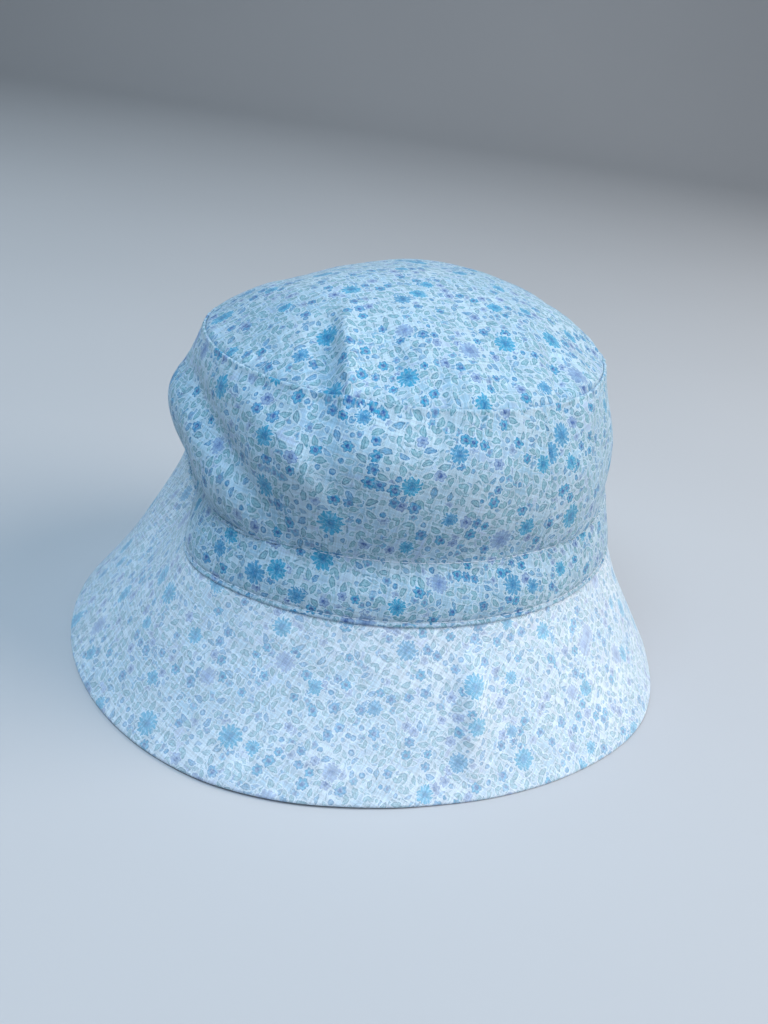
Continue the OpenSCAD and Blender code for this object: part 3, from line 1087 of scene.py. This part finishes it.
def small_motifs(nodes, place, below, cell, randomness, shift, scale, wash, faint=1.0):
    """Leaves, pairs of leaves, berries and small flowers, scattered over what is below."""
    x, y, far, bearing, chance = scatter(nodes, place, cell, randomness, shift)
    kind, size = chance[1], nodes.smooth(chance[2], 0, 1, 0.85, 1.18)
    x, y, far = (value / scale / size for value in (x, y, far))
    bent = y + x * x * 0.10
    edge = leaf_edge(x, bent, 2.0, 1.0)
    aside = abs(y)
    fork_x = x * 0.82 + aside * 0.57 - 1.35
    fork_y = aside * 0.82 - x * 0.57
    pair = leaf_edge(fork_x, fork_y, 1.6, 0.78)
    flower = far - petals(nodes, bearing, 6, 0.30) * 2.1
    for start, shape in ((PAIRS, pair), (BERRIES, far - 0.92), (FLOWERS, flower)):
        edge = nodes.pick(kind > start, edge, shape)
    cover = nodes.smooth(edge, 0.16, -0.12)
    rim = nodes.smooth(edge, -0.52, -0.10)
    fill = nodes.steps(kind, [(0, LEAF), (0.16, LEAF_BLUE), (0.26, LEAF), (BERRIES, BLUE),
                              (0.74, LEAF_BLUE), (FLOWERS, LILAC), (0.86, CERULEAN),
                              (0.93, BLUE)])
    line = nodes.steps(kind, [(0, TEAL), (0.16, BLUE_DARK), (0.22, TEAL_DARK), (0.34, TEAL),
                              (BERRIES, BLUE_DARK), (FLOWERS, LILAC_DARK), (0.86, BLUE_DARK)])
    ink = nodes.blend(rim * 0.85, fill, line)
    vein = nodes.smooth(abs(bent), 0.20, 0.05) * (kind < PAIRS)
    ink = nodes.blend(vein * 0.65, ink, line)
    heart = nodes.smooth(far, 1.1, 0.5) * (kind > FLOWERS)
    ink = nodes.blend(heart * 0.9, ink, NAVY)
    cleared = nodes.blend(nodes.smooth(edge, 0.80, 0.30), below, GROUND)
    return nodes.blend(cover * wash * faint, cleared, ink)


def daisies(nodes, place, below, wash):
    """The large many-petalled flowers, far apart."""
    _, _, far, bearing, chance = scatter(nodes, place, 18.5, 0.95, 31)
    far = far / nodes.smooth(chance[2], 0, 1, 0.55, 0.92)
    tips = petals(nodes, bearing, 12, 0.26)
    edge = far - tips * 4.1
    cover = nodes.smooth(edge, 0.22, -0.16)
    gaps = nodes.smooth(tips, 0.92, 0.80) * nodes.smooth(far, 1.0, 2.2)
    fill = nodes.steps(chance[1], [(0, CERULEAN), (0.62, LILAC), (0.8, BLUE)])
    line = nodes.steps(chance[1], [(0, BLUE_DARK), (0.62, LILAC_DARK), (0.8, BLUE_DARK)])
    ink = nodes.blend(gaps * 0.55, fill, GROUND_COOL)
    ring = nodes.smooth(abs(far - 1.35), 0.35, 0.1)
    ink = nodes.blend(ring * 0.6, ink, line)
    ink = nodes.blend(nodes.smooth(far, 1.2, 0.6) * 0.8, ink, line)
    cleared = nodes.blend(nodes.smooth(edge, 0.9, 0.5), below, GROUND)
    return nodes.blend(cover * wash, cleared, ink)


def wandering(nodes, place, amount, scale=0.75, detail=2.0):
    """The place moved a little either way, so that printed shapes have uneven edges."""
    wobble = nodes.add("ShaderNodeTexNoise", {"Vector": place, "Scale": scale, "Detail": detail},
                       noise_dimensions="2D")
    return nodes.vector("MULTIPLY_ADD", wobble.outputs["Color"], (amount, amount, 0), place)


def sprigs(nodes, place, below):
    """Thin stems that wander between the motifs."""
    spacing = 6.5
    moved = wandering(nodes, place, 5, 0.16, 1.0)
    lines = nodes.cells(moved, spacing, 1.0, "DISTANCE_TO_EDGE")
    near = nodes.smooth(Field(nodes, lines.outputs["Distance"]) * spacing, 0.26, 0.10)
    shown = nodes.smooth(nodes.noise(place, 0.22, 1.0, shift=40), 0.45, 0.55)
    return nodes.blend(near * shown * 0.7, below, TEAL)


def printed_cotton(name, painted_paling, painted_shade_tint):
    """Plain-weave cotton with a small print of flowers, leaves and berries."""
    nodes = Nodes(name)
    place = nodes.cloth_place()
    drift = nodes.noise(place, 0.05, 2.0, shift=3)
    ground = nodes.blend(nodes.smooth(drift, 0.35, 0.65), GROUND, GROUND_COOL)
    ground = nodes.blend(nodes.smooth(nodes.noise(place, 0.09, 2.0, shift=11), 0.5, 0.75) * 0.8,
                         ground, GROUND_LILAC)
    wash = nodes.smooth(nodes.noise(place, 1.3, 3.0, 0.65, shift=5), 0.30, 0.62, 0.55, 1.0)
    drawn = wandering(nodes, place, 0.8)
    colour = sprigs(nodes, drawn, ground)
    colour = small_motifs(nodes, drawn, colour, 2.9, 0.72, 17, 0.70, wash, 0.8)
    colour = small_motifs(nodes, drawn, colour, 3.7, 0.66, 23, 0.82, wash)
    colour = daisies(nodes, wandering(nodes, place, 2.0), colour, wash * 0.4 + 0.6)
    # Painted light and shade: the print is paled towards the ground, then darkened by the tint.
    colour = nodes.blend(painted_paling, colour, GROUND)
    colour = nodes.blend(1.0, colour, painted_shade_tint, "MULTIPLY")
    cloth = weave(nodes, place, 0.34)
    # Partly painted shade: darker where the weave lies low; slubs and streaks are yarn tone.
    weave_shade_and_tone = nodes.smooth(cloth, 0.0, 1.0, 0.955, 1.02)
    for stretch, shift in (((0.08, 1.5, 1), 0), ((1.5, 0.08, 1), 19)):
        streak = nodes.noise(nodes.vector("MULTIPLY", place, stretch), 1.0, 2.0, 0.6, shift=shift)
        weave_shade_and_tone = weave_shade_and_tone * nodes.smooth(streak, 0.30, 0.70, 0.90, 1.08)
    colour = nodes.shaded(colour, weave_shade_and_tone)
    rough = nodes.smooth(cloth, 0.0, 1.0, 0.92, 0.80)
    return nodes.finish(colour, rough, cloth, depth=0.06, strength=0.55, sheen=0.3)


def woven(name, light, dark, pitch, twill=False, depth=0.06, sheen=0.2):
    """Unprinted cloth in two close shades."""
    nodes = Nodes(name)
    place = nodes.cloth_place()
    cloth = weave(nodes, place, pitch, twill)
    mottle = nodes.noise(place, 0.12, 3.0, shift=2)
    colour = nodes.blend(nodes.smooth(mottle, 0.3, 0.7), light, dark)
    # Painted shade: darker where the weave lies low between the threads.
    weave_shade_and_tone = nodes.smooth(cloth, 0.0, 1.0, 0.90, 1.03)
    colour = nodes.shaded(colour, weave_shade_and_tone)
    rough = nodes.smooth(cloth, 0.0, 1.0, 0.95, 0.80)
    return nodes.finish(colour, rough, cloth, depth=depth, strength=0.7, sheen=sheen)


def sewing_thread():
    """Twisted thread, with a painted highlight on its plies' crowns and painted shade between."""
    nodes = Nodes("sewing_thread")
    place = nodes.add("ShaderNodeTexCoord").outputs["Object"]
    x, y, z = nodes.split(nodes.in_millimetres(place))
    twist = nodes.math("SINE", (x + y) * 16 + z * 22) * 0.5 + 0.5
    # Painted highlight and shade: the colour follows the height of the plies.
    colour = nodes.steps(twist, [(0, srgb(200, 220, 240)), (1, srgb(240, 247, 253))], smooth=True)
    rough = nodes.smooth(twist, 0, 1, 0.75, 0.5)
    return nodes.finish(colour, rough, twist, depth=0.03, strength=0.5, sheen=0.4)


# Painted shade darkens and tints the crown's print; painted light pales the brim's.
CROWN_PRINT_PAINTED_SHADE = printed_cotton("crown_print_painted_shade", 0.0, (0.64, 0.765, 0.79))
BRIM_PRINT_PAINTED_LIGHT = printed_cotton("brim_print_painted_light", 0.30, (0.97, 1.0, 0.98))
PLAIN = woven("plain_cotton", srgb(236, 242, 249), srgb(226, 235, 246), 0.30)
STIFF = woven("stiffener", srgb(243, 243, 238), srgb(233, 234, 229), 0.7, depth=0.1)
BAND = woven("sweatband_twill", srgb(216, 229, 244), srgb(204, 220, 239), 0.42, twill=True)
RIBBON = woven("label_ribbon", srgb(250, 250, 247), srgb(243, 243, 241), 0.22, twill=True,
               sheen=0.5)
SEWING = sewing_thread()

# ------------------------------------------------------------------ the hat
# Flat cuts, with 7 mm seam allowances: width, length and area
SIDE_CUT = (268.4, 98.9, 19010)
BRIM_CUT = (330.0, 148.0, 21500)
TIP_CUT = (150.0, 164.0, 19300)
STIFFENER_CUT = (320, 141, 21600)
LINING_CUT = (268, 98, 18800)
LINING_TIP_CUT = (144, 158, 17600)
BAND_CUT = (512, 24, 512 * 24)
LABEL_CUT = (14, 21, 14 * 21)


def show(piece, node, material, cut=None, rests_on=()):
    """Puts a piece in the place of its CAD node, with its material."""
    piece.data.materials.append(material)
    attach(piece, "root")
    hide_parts(node)
    if cut:
        width, length = (size * MM for size in cut.flat)
        cut.area * MM * MM
    return piece


def printed(piece, node, cut, rests_on):
    material = BRIM_PRINT_PAINTED_LIGHT if node.startswith("brim") else CROWN_PRINT_PAINTED_SHADE
    return show(piece, node, material, cut, rests_on=rests_on)


HALVES = (("front", FRONT), ("back", BACK))
# Where the halves of the side, brim top and brim underside lie on the printed cloth
SIDE_CUTS = (Cut(*SIDE_CUT, (40, 60)), Cut(*SIDE_CUT, (420, 70), 180))
TOP_CUTS = (Cut(*BRIM_CUT, (60, 330), 4), Cut(*BRIM_CUT, (500, 350), 180))
UNDER_CUTS = (Cut(*BRIM_CUT, (80, 620), -3), Cut(*BRIM_CUT, (520, 640), 176))

cut = Cut(*TIP_CUT, (820, 160), 12)
printed(outer_tip("tip_cloth", cut), "outer_tip", cut, ["lining_tip"])
for (name, half), cut in zip(HALVES, SIDE_CUTS):
    printed(outer_side("side_" + name + "_cloth", half, cut), "outer_side_" + name, cut,
            ["brim_seam_topstitch"])
for (name, half), cut in zip(HALVES, TOP_CUTS):
    piece = brim_sheet("brim_top_" + name + "_cloth", half, cut, (0, COTTON), 0.019, 1)
    printed(piece, "brim_top_" + name, cut, ["brim_stiffener_" + name])
for (name, half), cut in zip(HALVES, UNDER_CUTS):
    depths = (UNDER_DEPTH, BRIM_DEPTH)
    piece = brim_sheet("brim_under_" + name + "_cloth", half, cut, depths, 0.024, -1)
    printed(piece, "brim_under_" + name, cut, ["brim_stiffener_" + name])
for name, half in HALVES:
    cut = Cut(*STIFFENER_CUT)
    depths = (STIFFENER_DEPTH, STIFFENER_DEPTH + STIFFENER)
    show(brim_sheet("stiffener_" + name + "_sheet", half, cut, depths, 0.04, 0),
         "brim_stiffener_" + name, STIFF, cut, rests_on=["brim_under_" + name])
    cut = Cut(*LINING_CUT, (300 if name == "front" else 0, 0))
    show(lining_side("lining_" + name + "_cloth", half, cut), "lining_side_" + name, PLAIN,
         cut, rests_on=["sweatband"])
cut = Cut(*LINING_TIP_CUT, (0, 300))
show(lining_tip("lining_tip_cloth", cut), "lining_tip", PLAIN, cut,
     rests_on=["lining_side_front", "lining_side_back"])
cut = Cut(*BAND_CUT)
show(sweatband("sweatband_strip", cut), "sweatband", BAND, cut,
     rests_on=["sweatband_topstitch"])
tacks = label_stitches("label_tacks")
show(tacks, "label_stitches", SEWING)
cut = Cut(*LABEL_CUT)
show(care_label("label", cut), "care_label", RIBBON, cut,
     rests_on=["lining_side_back"])

# How deep the middle of a stitch lies that just clears the inside of the cloth
HIDDEN = COTTON + 0.15 + THREAD / 2
stitches = {
    "tip_seam_thread": stitch_ring("tip_seam_stitches", "side", 1 - 1.4 / SIDE_RISE, 2.0),
    "sweatband_topstitch": stitch_ring("band_stitches", "side", BAND_LEVEL, -0.16),
    "brim_seam_topstitch": stitch_ring("brim_seam_stitches", "side", TOPSTITCH_LEVEL, -0.10),
    "brim_edge_thread": stitch_ring("brim_edge_stitches", "brim", -0.955, BRIM_DEPTH / 2, 0.05),
    "side_seam_thread": stitch_seams("side_seam_stitches", "side", 0.03, 0.86, HIDDEN, SIDE_SLANT),
    "brim_side_seam_thread": stitch_seams("brim_side_stitches", "brim", -0.94, -0.05, 0.6,
                                          BRIM_WIDTH),
    "lining_seam_thread": join("lining_stitches", [
        stitch_ring("lining_ring", "side lining", 0.955, LINING_DEPTH - 0.22, 0.03),
        stitch_seams("lining_seams", "side lining", 0.03, 0.92, LINING_DEPTH - 0.22, SIDE_SLANT)]),
}
for node, piece in stitches.items():
    show(piece, node, SEWING)


# ------------------------------------------------------------------ studio
# Degrees, metres and the lens in millimetres
CAMERA_AZIMUTH = 45
CAMERA_ELEVATION = 26.3
CAMERA_ROLL = 8.65
CAMERA_DISTANCE = 0.3883
CAMERA_TARGET = Vector((0, 0, 0.0446))
CAMERA_LENS = 36.9
LAMP_DISTANCE = 1.6
LAMP_TARGET = Vector((0, 0, 0.06))


def backdrop():
    """A pale floor that curves up behind the hat into a plain wall."""
    nodes = Nodes("pale_floor")
    place = nodes.add("ShaderNodeTexCoord").outputs["Object"]
    mottle = nodes.noise(place, 3.0, 3.0)
    colour = nodes.blend(mottle, (0.50, 0.52, 0.55), (0.53, 0.55, 0.58))
    nodes.finish(colour, 0.9, sheen=0.0)
    near, far, radius, height = -1.5, 1.5, 0.7, 1.6
    run = [(near, 0.0)] + [(far + radius * math.sin(a), radius * (1 - math.cos(a)))
                           for a in np.linspace(0, math.pi / 2, 17)] + [(far + radius, height)]
    points = np.array([[(x, y, z) for x in (-3.0, 3.0)] for y, z in run]).reshape(-1, 3)
    floor = add_mesh("floor", points / MM, grid_faces(len(run), 2, False).tolist())
    floor.data.materials.append(nodes.material)
    floor.rotation_euler.z = math.radians(CAMERA_AZIMUTH)


def lamp(name, azimuth, elevation, size, power, colour):
    """A round area light, so many metres wide, that faces the hat."""
    light = bpy.data.lights.new(name, "AREA")
    light.shape = "DISK"
    light.size = size
    light.energy = power
    light.color = colour
    stand = bpy.data.objects.new(name, light)
    bpy.context.scene.collection.objects.link(stand)
    spot = toward(azimuth, elevation, LAMP_DISTANCE)
    stand.location = spot
    stand.rotation_euler = (LAMP_TARGET - spot).to_track_quat("-Z", "Y").to_euler()


def toward(azimuth, elevation, distance):
    """A place in that direction from the hat. Azimuth 0 is in front of it, and 90 is at +X."""
    a, e = math.radians(azimuth), math.radians(elevation)
    return Vector((math.sin(a) * math.cos(e), -math.cos(a) * math.cos(e), math.sin(e))) * distance


def camera():
    back = toward(CAMERA_AZIMUTH, CAMERA_ELEVATION, 1)
    right = toward(CAMERA_AZIMUTH + 90, 0, 1)
    up = back.cross(right)
    c, s = math.cos(math.radians(CAMERA_ROLL)), math.sin(math.radians(CAMERA_ROLL))
    turned_right = right * c + up * s
    turned_up = up * c - right * s
    data = bpy.data.cameras.new("camera")
    data.lens = CAMERA_LENS
    data.clip_start = 0.01
    eye = bpy.data.objects.new("camera", data)
    bpy.context.scene.collection.objects.link(eye)
    axes = Matrix((turned_right, turned_up, back)).transposed()
    eye.matrix_world = Matrix.Translation(CAMERA_TARGET + back * CAMERA_DISTANCE) @ axes.to_4x4()
    bpy.context.scene.camera = eye


def studio():
    backdrop()
    camera()
    lamp("key", 135, 42, 1.1, 18.5, (1.0, 0.89, 0.80))
    lamp("top", 22, 70, 1.2, 19, (0.68, 0.83, 1.0))
    lamp("fill", -40, 62, 1.2, 5, (0.66, 0.92, 1.0))
    lamp("side", 98, 12, 1.2, 5, (0.95, 0.92, 0.95))
    world = bpy.data.worlds.new("world")
    world.use_nodes = True
    colour, strength = world.node_tree.nodes["Background"].inputs[:2]
    colour.default_value = (0.64, 0.82, 1.0, 1)
    strength.default_value = 0.05
    bpy.context.scene.world = world
    bpy.context.scene.view_settings.view_transform = "Standard"


studio()
